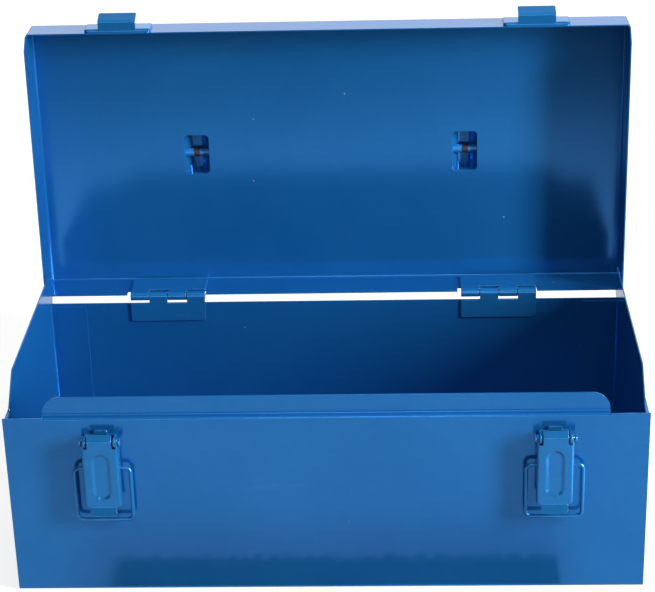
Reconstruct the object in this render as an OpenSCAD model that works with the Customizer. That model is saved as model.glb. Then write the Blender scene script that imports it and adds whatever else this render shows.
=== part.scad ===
// Hand tool box of folded steel sheet: an open-topped body with two toggle latches on its front,
// a tray lid on two butt hinges, and a carrying handle that swings in two pressed housings.
// Millimetres. The origin is the centre of the underside, X runs along the box, the latches face -Y.
// The lid is drawn open, as it stands on its hinges. Every lid piece is described closed, then swung.

/* [Body] */
// Length of the body, over the edges of the front panel
body_w = 420; // [320:1:520]
// Depth of the body, front panel to back panel
body_d = 197; // [150:1:240]
// Height of the front panel, up to its folded edge
body_h = 130; // [115:1:170]
// How much lower the back panel ends than the front panel
back_drop = 7; // [4:0.5:12]
// Thickness of the steel sheet of body, ends and lid
sheet = 0.9; // [0.6:0.1:1.2]
// Outer radius of the folds in the sheet
fold_r = 1.8; // [1.4:0.1:2.4]

/* [Front lip] */
// Depth of the ledge that the front edge of the lid comes down to
ledge_d = 4.5; // [3.5:0.5:7]
// Height of the lip above the ledge
lip_h = 13.2; // [9:0.1:16]
// Clear distance from each end of the lip to the end of the body
lip_inset = 25.5; // [20:0.5:40]
// Radius of the lip's upper corners
lip_corner_r = 12; // [4:0.5:12]

/* [End panels] */
// Width of the flange along the back panel
back_flange_w = 27; // [15:1:35]
// Width of the flanges along the front panel and the bottom
end_flange_w = 18; // [10:1:22]
// Distance from the front panel's edge down to the shoulder of the end panel
shoulder_drop = 3.5; // [2:0.5:6]
// How far the end panel steps inwards at its shoulder
shoulder_step = 1.8; // [1.2:0.1:2.4]
// Height of the end panel above the edge of the front panel
end_rise = 19; // [12:0.5:22]
// Distance from the front panel back to the foot of the raised part
rise_setback = 13; // [10:1:25]
// Run of the raised part's sloping front edge
rise_slope_run = 22; // [12:1:35]

/* [Lid] */
// Depth of the lid's front flange
lid_front_depth = 25.2; // [22:0.1:32]
// Depth of the lid's side flanges
lid_side_depth = 34.2; // [28:0.1:40]
// Gap between the front flange and the ledge when the lid is down
lid_rest_gap = 1.8; // [0.5:0.1:3]
// Gap between each side flange and the body
lid_side_gap = 1.85; // [0.6:0.05:3]
// How far the front flange stands proud of the front panel
lid_front_proud = 1; // [0:0.1:2]
// Angle through which the lid swings from closed to open
lid_open_angle = 91.5; // [60:0.5:100]

/* [Hinges] */
// Distance from each end of the body to the middle of its hinge
hinge_inset = 88; // [60:1:110]
// Length of each hinge
hinge_w = 55; // [40:1:70]
// Thickness of the hinge leaves
leaf_t = 1.2; // [0.9:0.1:1.6]
// Diameter of the hinge pin
hinge_pin_d = 4; // [3:0.1:4.4]
// Height of the hinge axis above the edge of the back panel
hinge_rise = 4.7; // [4.6:0.1:6]
// Length of the body leaf below the edge of the back panel
body_leaf_l = 14; // [10:0.5:22]
// Length of the lid leaf above the hinge axis
lid_leaf_l = 25; // [14:0.5:26]
// Gap between neighbouring knuckles
knuckle_gap = 0.5; // [0.3:0.05:1]

/* [Latches] */
// Distance from each end of the body to the middle of its latch
latch_inset = 62.5; // [45:0.5:75]
// How far both latches sit to the right of that
latch_shift = 1.2; // [0:0.1:2]
// Distance from the front panel's edge down to the lever's pivot
latch_pivot_drop = 13.8; // [12:0.1:18]
// Distance of the lever's pivot from the front panel
latch_pivot_out = 7.5; // [7:0.1:9]
// Thickness of the latch sheet
latch_t = 1.2; // [1:0.1:1.4]
// Width of the lever
lever_w = 24; // [22:0.5:28]
// Length of the lever's face below the pivot
lever_l = 47; // [40:0.1:50]
// Length of the finger tab at the lever's end
finger_tab_l = 6; // [4:0.5:6]
// Outward slope of the finger tab
finger_tab_angle = 26; // [10:1:35]
// Diameter of the lever's pivot rivet
rivet_d = 3; // [2.4:0.1:3.4]
// Distance from the lever's pivot down to the pivot of the wire bail
bail_drop = 20; // [17:0.5:22]
// Distance of the bail's pivot from the front panel
bail_out = 5; // [4.6:0.1:5.4]
// Diameter of the bail wire
bail_d = 2.6; // [2:0.1:2.8]
// Length of the bail, from its pivot to the middle of its cross bar
bail_l = 38.8; // [38:0.1:46]
// Width of the bail, between the middles of its side wires
bail_w = 37; // [34:0.5:42]
// Radius of the bail's bends, at the middle of the wire
bail_bend_r = 4; // [3:0.5:5]

/* [Catches] */
// Length of the catch plate along the lid
catch_w = 47; // [38:0.5:56]
// Height of the catch plate
catch_h = 17; // [14:0.5:20]
// How far the pressed catch plate stands off the lid
catch_raise = 2.5; // [2:0.1:3.5]
// Width of the hook
hook_w = 26.5; // [20:0.5:30]
// Distance from the lid to the outside of the hook
hook_out = 8.9; // [8:0.1:10.5]
// Length of the hook's flared lip
hook_lip_l = 10; // [6:0.5:10]
// Flare of the hook's lip
hook_flare = 17; // [5:1:25]

/* [Handle] */
// Distance of each handle housing from the middle of the lid
housing_x = 98; // [70:1:115]
// Inner width of the housing pressed in the lid
housing_w = 18; // [15:0.5:22]
// Inner length of the housing
housing_l = 29.6; // [24:0.2:36]
// Diameter of the handle bar
handle_d = 6; // [5:0.5:7]
// Height of the handle's axis above the lid
handle_rise = 4.6; // [4.4:0.1:5.5]
// Reach of the handle, from its axis to the middle of its grip
handle_l = 50; // [40:1:60]
// Radius of the bends at the grip, at the middle of the bar
grip_bend_r = 12; // [8:1:16]
// Radius of the bends at the feet, at the middle of the bar
foot_bend_r = 6; // [5:0.5:8]
// How far each foot of the handle comes through its housing
foot_out = 3; // [1.5:0.5:5]

/* [Fits] */
// Radial clearance of pins and wires in their bores
bore_clear = 0.05; // [0.02:0.01:0.1]
// Gap between moving faces that pass each other
run_gap = 0.4; // [0.3:0.05:0.8]

/* [Colours] */
// Enamel on the body and the lid
enamel = "#2a6fb5"; // [#2a6fb5:Mid blue, #1f5c99:Deep blue]
// Enamel on latches and hinges
fitting_enamel = "#2d74ba"; // [#2d74ba:Mid blue, #1f5c99:Deep blue]

/* [Hidden] */
$fn = 64;
far = 600;
eps = 0.01;

// body
front_y = -body_d / 2;
back_y = body_d / 2;
back_h = body_h - back_drop;
lip_w = body_w - 2 * lip_inset;
shoulder_z = body_h - shoulder_drop;
step_rise = shoulder_step * 0.6;
end_top = body_h + end_rise;
corner_relief = 4;
end_back_gap = 2.4;

// hinge
hinge_x = body_w / 2 - hinge_inset;
knuckle_d = hinge_pin_d + 2 * bore_clear + 2 * leaf_t;
leaf_y = back_y - sheet - leaf_t;
axis_y = leaf_y + knuckle_d / 2;
axis_z = back_h + hinge_rise;
knuckle_w = (hinge_w - 3 * knuckle_gap) / 4;
knuckle_pitch = knuckle_w + knuckle_gap;
LID_KNUCKLES = [0, 2];
BODY_KNUCKLES = [1, 3];
notch_left = 2.6;
notch_right = 0.6;
notch_h = hinge_rise + 0.4;
flange_drop = 1.6;

// lid, closed
lid_w = body_w + 2 * (lid_side_gap + sheet);
lid_front_y = front_y - lid_front_proud;
lid_d = back_y - lid_front_y;
lid_mid_y = (back_y + lid_front_y) / 2;
lid_top = body_h + lid_rest_gap + lid_front_depth;
lid_front_z = lid_top - lid_front_depth;
lid_side_z = lid_top - lid_side_depth;
lid_back_z = axis_z - flange_drop;
lid_corner_r = 2.4;

// latch
latch_x = body_w / 2 - latch_inset;
pivot_y = front_y - latch_pivot_out;
pivot_z = body_h - latch_pivot_drop;
bail_y = front_y - bail_out;
bail_z = pivot_z - bail_drop;
face_y = front_y - latch_pivot_out - 3;
face_foot = pivot_z - lever_l + 0.5;
flange_in_y = front_y - 2.2;
slot_w = 2.75;
inner_face_w = lever_w - 2 * latch_t - 2 * slot_w;
ear_r = 3.5;
ear_x = lever_w / 2 - latch_t - run_gap - latch_t;
plate_top = pivot_z + 2.7;
plate_h = 34;
heel_rise = 1.4;
heel_l = 4.6;
heel_angle = 40;
slot_drop = ear_r + 0.1;
lever_fold_r = 1.8;
strip_bend_r = 1.3;
fold_steps = 6;
tab_w = 17.6;
oval_w = 12.2;
oval_l = 34;
oval_depth = 0.8;
oval_slope = 1.9;
oval_z = pivot_z - lever_l / 2 - 0.9;
rivet_head_d = 5.4;
rivet_head_t = 1.1;

// catch, seated by the bail pulled straight up
trough_z = bail_z + bail_l - bail_d / 2 - 0.1;
catch_z = trough_z - latch_t;
catch_y = lid_front_y - catch_raise;

// handle, in the closed lid
housing_r = housing_w / 2;
housing_y = lid_mid_y;
handle_z = lid_top + handle_rise;
handle_x = housing_x - housing_r - sheet - run_gap - foot_bend_r;
foot_x = housing_x + housing_r + sheet + foot_out;
handle_hang = lid_open_angle - 90;

// ---- helpers ----

// Extrudes a side outline, drawn as (Y, Z), along X
module along_x(w) {
    rotate([90, 0, 90]) translate([0, 0, -w / 2]) linear_extrude(w) children();
}

// Extrudes a front outline, drawn as (X, Z), along Y
module along_y(d) {
    rotate([90, 0, 0]) translate([0, 0, -d / 2]) linear_extrude(d) children();
}

// A rectangle on its base line with both upper corners rounded
module round_top(w, h, r) {
    translate([-w / 2, 0]) square([w, h - r]);
    translate([-w / 2 + r, 0]) square([w - 2 * r, h]);
    for (side = [-1, 1]) translate([side * (w / 2 - r), h - r]) circle(r);
}

// A rectangle on its base line with both lower corners rounded
module round_foot(w, h, r) {
    translate([0, h]) mirror([0, 1]) round_top(w, h, r);
}

// A centred rectangle with all corners rounded
module round_rect(w, h, r) {
    square([w - 2 * r, h], center = true);
    square([w, h - 2 * r], center = true);
    for (x = [-1, 1], y = [-1, 1]) translate([x * (w / 2 - r), y * (h / 2 - r)]) circle(r);
}

// A quarter of a bent sheet about the origin, in the quadrant that the signs name
module fold_quarter(sx, sy, r_out, r_in) {
    intersection() {
        difference() {
            circle(r_out);
            circle(r_in);
        }
        scale_to_quadrant(sx, sy, r_out);
    }
}

module scale_to_quadrant(sx, sy, r) {
    translate([sx > 0 ? 0 : -r, sy > 0 ? 0 : -r]) square(r);
}

// A block with its top edges rounded, its base on the XY plane
module soft_block(w, d, h, edge_r, corner_r) {
    intersection() {
        linear_extrude(h) round_rect(w, d, corner_r);
        along_x(w) round_top(d, h, edge_r);
        along_y(d) round_top(w, h, edge_r);
    }
}

// A pressed sheet tray, open side down, its base on the XY plane
module pressed_tray(w, d, h, edge_r, corner_r, t) {
    difference() {
        soft_block(w, d, h, edge_r, corner_r);
        translate([0, 0, -eps])
            soft_block(w - 2 * t, d - 2 * t, h - t + eps, edge_r - t, corner_r - t);
    }
}

// Length that a bend takes from each straight, for a turn in degrees
function bend_cut(turn, r) = r * tan(abs(turn) / 2);

// Heading of the straight from point a to point b
function heading(a, b) = atan2(b[1] - a[1], b[0] - a[0]);

// Turn between two headings, from -180 to 180 degrees
function turn_of(a, b) = let (d = b - a) d > 180 ? d - 360 : d <= -180 ? d + 360 : d;

// Points along one face of a folded strip, a distance to the left of its middle line
function fold_face(path, r, off) = let (last = len(path) - 1) [
    for (i = [0 : last])
        let (
            into = heading(path[max(i - 1, 0)], path[max(i, 1)]),
            out = heading(path[min(i, last - 1)], path[min(i + 1, last)]),
            turn = turn_of(into, out),
            way = sign(turn),
            cut = bend_cut(turn, r),
            centre = path[i] - cut * [cos(into), sin(into)] + way * r * [-sin(into), cos(into)]
        )
        each turn == 0
            ? [path[i] + off * [-sin(into), cos(into)]]
            : [for (k = [0 : fold_steps])
                let (along = into + turn * k / fold_steps)
                centre + (way * r - off) * [sin(along), -cos(along)]]
];

// Outline of a strip of sheet folded along a path, with one radius at the middle of its bends
module folded_strip(path, t, r) {
    near = fold_face(path, r, t / 2);
    away = fold_face(path, r, -t / 2);
    polygon(concat(near, [for (i = [len(away) - 1 : -1 : 0]) away[i]]));
}

// A long oval pressed down from the XY plane, with sloping sides
module sunk_oval(w, l, depth, slope) {
    over = 0.2;
    wide = w + 2 * slope * over / depth;
    narrow = w - 2 * slope;
    for (end = [-1, 1]) translate([0, end * (l - w) / 2, -depth])
        cylinder(d1 = narrow, d2 = wide, h = depth + over);
    along_y(l - w)
        polygon([[-narrow / 2, -depth], [narrow / 2, -depth], [wide / 2, over], [-wide / 2, over]]);
}

// A round rod bent in the XY plane through the corners of a path, with one bend radius a corner
module bent_rod(path, d, radii, closed = false) {
    n = len(path);
    last = closed ? n - 1 : n - 2;
    for (i = [0 : last]) {
        a = path[i];
        b = path[(i + 1) % n];
        here = heading(a, b);
        bends_at_a = closed || i > 0;
        bends_at_b = closed || i < last;
        turn_a = bends_at_a ? turn_of(heading(path[(i + n - 1) % n], a), here) : 0;
        turn_b = bends_at_b ? turn_of(here, heading(b, path[(i + 2) % n])) : 0;
        r = radii[(i + 1) % n];
        cut_a = bend_cut(turn_a, radii[i]);
        cut_b = bend_cut(turn_b, r);
        translate([a[0], a[1], 0]) rotate([0, 0, here]) {
            translate([cut_a, 0, 0]) rotate([0, 90, 0])
                cylinder(d = d, h = norm(b - a) - cut_a - cut_b);
            if (bends_at_b) {
                side = turn_b > 0 ? 1 : -1;
                translate([norm(b - a) - cut_b, side * r, 0])
                    rotate([0, 0, side > 0 ? -90 : 90 + turn_b])
                        rotate_extrude(angle = abs(turn_b)) translate([r, 0]) circle(d = d);
            }
        }
    }
}

// Swings a closed lid piece to where the lid stands open
module lid_open() {
    translate([0, axis_y, axis_z]) rotate([-lid_open_angle, 0, 0]) translate([0, -axis_y, -axis_z])
        children();
}

// ---- body ----

// Side outline of the sheet that makes the front, the bottom and the back
module shell_outline() {
    difference() {
        round_foot(body_d, body_h, fold_r);
        translate([0, sheet]) round_foot(body_d - 2 * sheet, body_h, fold_r - sheet);
        translate([0, back_h]) square([body_d, body_h]);
    }
}

// Side outline of the folded front edge: over, back along the ledge, and up into the lip
module lip_outline() {
    inner_r = fold_r - sheet;
    translate([front_y, body_h]) {
        translate([fold_r, -fold_r]) fold_quarter(-1, 1, fold_r, inner_r);
        translate([fold_r, -sheet]) square([ledge_d - fold_r - inner_r + eps, sheet]);
        translate([ledge_d - inner_r, inner_r]) fold_quarter(1, -1, fold_r, inner_r);
        translate([ledge_d, inner_r]) square([sheet, lip_h - inner_r]);
    }
}

module body_shell() {
    color(enamel) {
        difference() {
            along_x(body_w) shell_outline();
            translate([-lip_w / 2, front_y - 1, body_h - fold_r]) cube([lip_w, fold_r + 1, far]);
        }
        intersection() {
            along_x(lip_w) lip_outline();
            translate([0, front_y, body_h - fold_r])
                along_y(4 * fold_r + 4 * ledge_d) round_top(lip_w, fold_r + lip_h, lip_corner_r);
        }
    }
}

// Side outline of the raised part of an end panel
module end_rise_outline() {
    foot_z = body_h - 1;
    front = front_y + rise_setback;
    rear = back_y - end_back_gap;
    polygon([
        [front, shoulder_z], [front, foot_z], [front + 1.2, foot_z + 2],
        [front + rise_slope_run - 2, end_top - 1.4], [front + rise_slope_run + 1.5, end_top],
        [rear - 2, end_top], [rear, end_top - 2], [rear, shoulder_z]
    ]);
}

// The shoulder of an end panel: the sheet steps in by shoulder_step, for a panel on the +X side
module shoulder_outline() {
    out = body_w / 2;
    under = sheet * 0.85;
    polygon([
        [out, shoulder_z - 1], [out, shoulder_z],
        [out - shoulder_step, shoulder_z + step_rise],
        [out - shoulder_step, shoulder_z + step_rise + 1],
        [out - shoulder_step - sheet, shoulder_z + step_rise + 1],
        [out - shoulder_step - sheet, shoulder_z + step_rise - under],
        [out - sheet, shoulder_z - under], [out - sheet, shoulder_z - 1]
    ]);
}

// End panel on the +X side: a flanged plate below, a stepped-in raised part above
module end_panel() {
    inside_d = body_d - 2 * sheet;
    panel_h = shoulder_z - sheet;
    out = body_w / 2;
    color(enamel) {
        difference() {
            translate([out - back_flange_w, 0, sheet + panel_h]) rotate([0, 90, 0])
                pressed_tray(2 * panel_h, inside_d, back_flange_w, fold_r, fold_r, sheet);
            translate([out - far, front_y, shoulder_z - 1]) cube([2 * far, body_d, far]);
            end_panel_trims();
        }
        intersection() {
            along_y(inside_d - 2 * fold_r) shoulder_outline();
            along_x(far * 2) translate([front_y, 0]) square([body_d, far]);
        }
        translate([out - shoulder_step - sheet / 2, 0, 0]) along_x(sheet) intersection() {
            end_rise_outline();
            translate([front_y, shoulder_z + step_rise + 1 - eps]) square([body_d, far]);
        }
    }
}

// What is cut from the tray to leave three flanges: narrower ones in front and below, corner reliefs
module end_panel_trims() {
    narrow = back_flange_w - end_flange_w;
    base_x = body_w / 2 - back_flange_w;
    translate([base_x - 1, front_y, 0]) cube([narrow + 1, body_d / 2, far]);
    translate([base_x - 1, front_y, 0]) cube([narrow + 1, body_d, 3 * sheet]);
    for (y = [front_y, back_y - corner_relief])
        translate([base_x - 1, y, 0])
            cube([back_flange_w + 1 - fold_r, corner_relief, corner_relief]);
    translate([base_x - 1, back_y - 3 * sheet, back_h - 2]) cube([back_flange_w - 1, 4 * sheet, far]);
    translate([base_x - 1, front_y, body_h - 8]) cube([back_flange_w - 1, 4 * sheet, far]);
}

module end_panel_right() {
    end_panel();
}

module end_panel_left() {
    mirror([1, 0, 0]) end_panel();
}

// ---- lid ----

// Plan outline of a handle housing
module housing_plan(grow) {
    round_rect(housing_w + 2 * grow, housing_l + 2 * grow, 3 + grow);
}

// The bulge of a handle housing, standing on the XY plane
module housing_bulge(grow) {
    intersection() {
        translate([0, 0, -sheet - 1]) linear_extrude(housing_r + sheet + grow + 2) housing_plan(grow);
        rotate([90, 0, 0])
            cylinder(r = housing_r + grow, h = housing_l + 2 * sheet + 2, center = true);
    }
}

module housing_places() {
    for (side = [-1, 1]) translate([side * housing_x, housing_y, lid_top - sheet]) children();
}

// The notches in the back flange that let the knuckles through
module hinge_notches() {
    for (side = [-1, 1])
        translate([side * hinge_x - hinge_w / 2 - notch_left, back_y - fold_r - 1, lid_side_z - 1])
            cube([
                hinge_w + notch_left + notch_right,
                fold_r + 2,
                axis_z + notch_h - lid_side_z + 1
            ]);
}

// What is cut from the tray so that each flange has its own depth
module lid_flange_trims() {
    chamfer = lid_front_z - lid_side_z;
    // front flange, with the corners of the side flanges sloped off behind it
    translate([0, lid_front_y, 0]) rotate([90, 0, 90]) translate([0, 0, -far / 2])
        linear_extrude(far)
            polygon([[-1, 0], [-1, lid_front_z], [sheet, lid_front_z],
                [sheet + chamfer, lid_side_z], [sheet + chamfer, 0]]);
    translate([-body_w / 2, back_y - sheet - 1, 0]) cube([body_w, sheet + 2, lid_back_z]);
}

module lid() {
    color(enamel) lid_open() {
        difference() {
            union() {
                translate([0, lid_mid_y, lid_side_z])
                    pressed_tray(lid_w, lid_d, lid_side_depth, fold_r, lid_corner_r, sheet);
                housing_places() intersection() {
                    housing_bulge(sheet);
                    translate([-far / 2, -far / 2, 0]) cube(far);
                }
            }
            housing_places() housing_bulge(0);
            lid_flange_trims();
            hinge_notches();
            translate([0, housing_y, handle_z]) rotate([0, 90, 0])
                cylinder(d = handle_d + 2 * bore_clear, h = far, center = true);
        }
    }
}

// ---- hinges ----

// One knuckle and the strip of leaf that it is rolled from, below the axis
module knuckle_strip(bore_d) {
    difference() {
        union() {
            rotate([0, 90, 0]) cylinder(d = knuckle_d, h = knuckle_w);
            translate([0, -knuckle_d / 2, -hinge_rise - 1])
                cube([knuckle_w, leaf_t, hinge_rise + 1]);
        }
        translate([-1, 0, 0]) rotate([0, 90, 0]) cylinder(d = bore_d, h = knuckle_w + 2);
    }
}

// Outline of a leaf below its knuckles
module leaf_plate(reach) {
    length = reach - hinge_rise;
    rotate([90, 0, 0]) translate([0, -reach, -leaf_t]) linear_extrude(leaf_t)
        translate([hinge_w / 2, 0]) round_foot(hinge_w, length, 1.5);
}

// A leaf that hangs below the axis of the hinge
module hinge_leaf(reach, knuckles, bore_d) {
    translate([0, -knuckle_d / 2, 0]) leaf_plate(reach);
    for (i = knuckles) translate([i * knuckle_pitch, 0, 0]) knuckle_strip(bore_d);
}

module hinge_place(side) {
    translate([side * hinge_x - hinge_w / 2, axis_y, axis_z]) children();
}

// Body leaf, its knuckles closed fast on the pin
module body_leaf(side) {
    color(fitting_enamel) hinge_place(side)
        hinge_leaf(hinge_rise + body_leaf_l, BODY_KNUCKLES, hinge_pin_d);
}

// Lid leaf, its knuckles free to turn on the pin
module lid_leaf(side) {
    color(fitting_enamel) lid_open() hinge_place(side) mirror([0, 0, 1])
        hinge_leaf(lid_leaf_l, LID_KNUCKLES, hinge_pin_d + 2 * bore_clear);
}

module hinge_pin(side) {
    color(fitting_enamel) hinge_place(side) translate([0.3, 0, 0]) rotate([0, 90, 0])
        cylinder(d = hinge_pin_d, h = hinge_w - 0.6);
}

// ---- latches ----

module latch_place(side) {
    translate([side * latch_x + latch_shift, 0, 0]) children();
}

// Base: a plate on the front panel with two ears that carry the lever's rivet
module latch_base(side) {
    ear_out = ear_x + latch_t;
    color(fitting_enamel) latch_place(side) difference() {
        union() {
            translate([0, front_y - latch_t / 2, plate_top - plate_h])
                along_y(latch_t) round_foot(2 * ear_out, plate_h, 2);
            translate([0, front_y - latch_t / 2, plate_top - 2])
                along_y(latch_t) round_top(9, 4.6, 1);
            for (x = [-ear_out, ear_x]) translate([x, 0, 0]) {
                translate([0, pivot_y, pivot_z]) rotate([0, 90, 0]) cylinder(r = ear_r, h = latch_t);
                translate([0, pivot_y, pivot_z - ear_r])
                    cube([latch_t, latch_pivot_out, plate_top - pivot_z + ear_r]);
            }
        }
        translate([0, pivot_y, pivot_z]) rotate([0, 90, 0])
            cylinder(d = rivet_d, h = far, center = true);
    }
}

// Rivet through the ears and the lever's side flanges, headed at both ends
module latch_rivet(side) {
    shank = lever_w + 2 * run_gap;
    color(fitting_enamel) latch_place(side) translate([0, pivot_y, pivot_z]) rotate([0, 90, 0]) {
        cylinder(d = rivet_d, h = shank + 1, center = true);
        for (end = [-1, 1])
            translate([0, 0, end * (shank + rivet_head_t) / 2])
                cylinder(d = rivet_head_d, h = rivet_head_t, center = true);
    }
}

// Side outline of the lever's channel, with the pivot at its top and the bail's bore below it
module lever_side_outline() {
    top_r = pivot_y - face_y;
    deep_end = bail_z - 4;
    flange_end = face_foot + 1.2;
    polygon([
        [face_y, pivot_z], [pivot_y, pivot_z + top_r * 0.4], [pivot_y + top_r, pivot_z],
        [flange_in_y, pivot_z - 4], [flange_in_y, deep_end],
        [face_y + 3.4, flange_end], [face_y + latch_t, flange_end],
        [face_y + latch_t, face_foot], [face_y, face_foot]
    ]);
    translate([pivot_y, pivot_z]) circle(top_r);
}

// The lever's face and side flanges, bent from one sheet and open at the top for the ears
module lever_channel() {
    in_w = lever_w - 2 * latch_t;
    difference() {
        intersection() {
            translate([0, face_y, face_foot]) linear_extrude(lever_l + 10) difference() {
                round_foot(lever_w, 12, lever_fold_r);
                translate([0, latch_t]) round_foot(in_w, 12, lever_fold_r - latch_t);
            }
            along_x(lever_w + 2) lever_side_outline();
            translate([0, front_y, face_foot]) along_y(40) round_foot(lever_w, lever_l + 10, 1.5);
        }
        translate([-in_w / 2, face_y - 1, pivot_z - slot_drop])
            cube([in_w, latch_pivot_out + 5, slot_drop + 10]);
    }
}

// Heel, middle of the face and finger tab, folded from one strip
module lever_strip() {
    mid_y = face_y + latch_t / 2;
    heel_z = pivot_z + heel_rise;
    tab_z = pivot_z - lever_l;
    foot_z = tab_z - finger_tab_l * cos(finger_tab_angle);
    intersection() {
        along_x(lever_w) folded_strip([
            [mid_y + heel_l * sin(heel_angle), heel_z + heel_l * cos(heel_angle)],
            [mid_y, heel_z], [mid_y, tab_z],
            [mid_y - finger_tab_l * sin(finger_tab_angle), foot_z]
        ], latch_t, strip_bend_r);
        translate([0, front_y, 0]) along_y(40) {
            translate([-inner_face_w / 2, face_foot + 4]) square([inner_face_w, lever_l + 10]);
            translate([0, foot_z - 0.5]) round_foot(tab_w, face_foot + 5 - foot_z, 3.2);
        }
    }
}

module latch_lever(side) {
    color(fitting_enamel) latch_place(side) difference() {
        union() {
            lever_channel();
            lever_strip();
            translate([0, face_y + latch_t - eps, oval_z]) rotate([90, 0, 0])
                sunk_oval(oval_w + 0.8, oval_l + 0.8, oval_depth, oval_slope);
        }
        translate([0, face_y, oval_z]) rotate([90, 0, 0])
            sunk_oval(oval_w, oval_l, oval_depth, oval_slope);
        translate([0, pivot_y, pivot_z]) rotate([0, 90, 0])
            cylinder(d = rivet_d + 2 * bore_clear, h = far, center = true);
        translate([0, bail_y, bail_z]) rotate([0, 90, 0])
            cylinder(d = bail_d + 2 * bore_clear, h = far, center = true);
    }
}

// Bail: a closed wire loop that hangs from the lever
module latch_bail(side) {
    color(fitting_enamel) latch_place(side) translate([0, bail_y, bail_z]) rotate([90, 0, 0])
        bent_rod([
            [-bail_w / 2, 0], [bail_w / 2, 0], [bail_w / 2, -bail_l], [-bail_w / 2, -bail_l]
        ], bail_d, [for (i = [0 : 3]) bail_bend_r], closed = true);
}

// ---- catches ----

// Hook: a strip folded out from the plate, then up and outwards
module hook() {
    rise_y = lid_front_y - hook_out + latch_t / 2;
    floor_z = catch_z + latch_t / 2;
    intersection() {
        along_x(hook_w) folded_strip([
            [catch_y + latch_t, floor_z], [rise_y, floor_z],
            [rise_y - hook_lip_l * sin(hook_flare), floor_z + hook_lip_l * cos(hook_flare)]
        ], latch_t, strip_bend_r);
        translate([0, front_y, catch_z]) along_y(far) round_top(hook_w, hook_lip_l + 0.4, 2);
    }
}

// Catch: a plate pressed up in relief and seated on the front flange of the lid, with a hook
module latch_catch(side) {
    color(fitting_enamel) lid_open() translate([side * latch_x, 0, 0]) {
        translate([0, lid_front_y, catch_z + catch_h / 2]) rotate([90, 0, 0])
            pressed_tray(catch_w, catch_h, catch_raise, 1.6, 3, latch_t);
        hook();
    }
}

// ---- handle ----

// Handle: a round bar bent to a bow, its feet turned outwards through the housings
module handle() {
    color(enamel) lid_open() translate([0, housing_y, handle_z]) rotate([handle_hang, 0, 0])
        bent_rod([
            [-foot_x, 0], [-handle_x, 0], [-handle_x, handle_l],
            [handle_x, handle_l], [handle_x, 0], [foot_x, 0]
        ], handle_d, [0, foot_bend_r, grip_bend_r, grip_bend_r, foot_bend_r, 0]);
}

body_shell();
end_panel_left();
end_panel_right();
body_leaf(-1);  // hinge_left_body_leaf
lid_leaf(-1);  // hinge_left_lid_leaf
hinge_pin(-1);  // hinge_left_pin
body_leaf(1);  // hinge_right_body_leaf
lid_leaf(1);  // hinge_right_lid_leaf
hinge_pin(1);  // hinge_right_pin
lid();
latch_catch(-1);  // catch_left
latch_catch(1);  // catch_right
handle();
latch_base(-1);  // latch_left_base
latch_rivet(-1);  // latch_left_rivet
latch_lever(-1);  // latch_left_lever
latch_bail(-1);  // latch_left_bail
latch_base(1);  // latch_right_base
latch_rivet(1);  // latch_right_rivet
latch_lever(1);  // latch_right_lever
latch_bail(1);  // latch_right_bail
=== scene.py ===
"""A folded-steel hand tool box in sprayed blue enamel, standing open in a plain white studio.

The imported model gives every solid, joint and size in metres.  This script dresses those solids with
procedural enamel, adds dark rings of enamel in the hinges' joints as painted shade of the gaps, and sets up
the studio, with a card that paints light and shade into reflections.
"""

import logging
import math
from dataclasses import dataclass, field, replace
from enum import Enum
from typing import Any

import bmesh
import bpy
from mathutils import Matrix, Vector


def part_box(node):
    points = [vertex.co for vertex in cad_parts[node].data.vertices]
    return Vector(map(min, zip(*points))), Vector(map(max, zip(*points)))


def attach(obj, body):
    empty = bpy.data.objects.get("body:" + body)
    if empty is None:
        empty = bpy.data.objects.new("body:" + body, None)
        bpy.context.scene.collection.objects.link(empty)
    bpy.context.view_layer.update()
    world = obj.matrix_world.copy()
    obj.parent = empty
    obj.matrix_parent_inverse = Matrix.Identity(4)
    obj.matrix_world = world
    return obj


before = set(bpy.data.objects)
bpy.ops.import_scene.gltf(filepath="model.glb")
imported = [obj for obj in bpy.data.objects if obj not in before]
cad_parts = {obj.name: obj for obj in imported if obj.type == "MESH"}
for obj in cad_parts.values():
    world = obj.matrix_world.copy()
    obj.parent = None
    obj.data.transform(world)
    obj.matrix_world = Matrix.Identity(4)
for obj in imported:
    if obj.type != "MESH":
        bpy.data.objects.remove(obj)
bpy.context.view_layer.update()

LOG = logging.getLogger("tool_box")
MM = 0.001

# Red, green and blue; x, y and z in metres; a pair of limits
Colour = tuple[float, float, float]
Point = tuple[float, float, float]
Span = tuple[float, float]
WHITE: Colour = (1.0, 1.0, 1.0)

# A node's socket, or the plain value that stands in for it
Socket = bpy.types.NodeSocket
Number = Socket | float
Tint = Socket | Colour

# What a noise texture gives on average
NOISE_MIDDLE = 0.5


class Slot(Enum):
    """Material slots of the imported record."""

    ENAMEL = "enamel"
    FITTING = "fitting_enamel"


class Body(Enum):
    """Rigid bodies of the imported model."""

    CASE = "case"
    LID = "lid"
    HANDLE = "handle"
    LEVER_LEFT = "lever_left"
    LEVER_RIGHT = "lever_right"
    BAIL_LEFT = "bail_left"
    BAIL_RIGHT = "bail_right"


class Side(Enum):
    """The two ends of the box, as a sign on X."""

    LEFT = -1
    RIGHT = 1

    @property
    def word(self) -> str:
        """The side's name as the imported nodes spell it."""
        return self.name.lower()


# --------------------------------------------------------------------------------------------------
# Node building
# --------------------------------------------------------------------------------------------------


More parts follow.
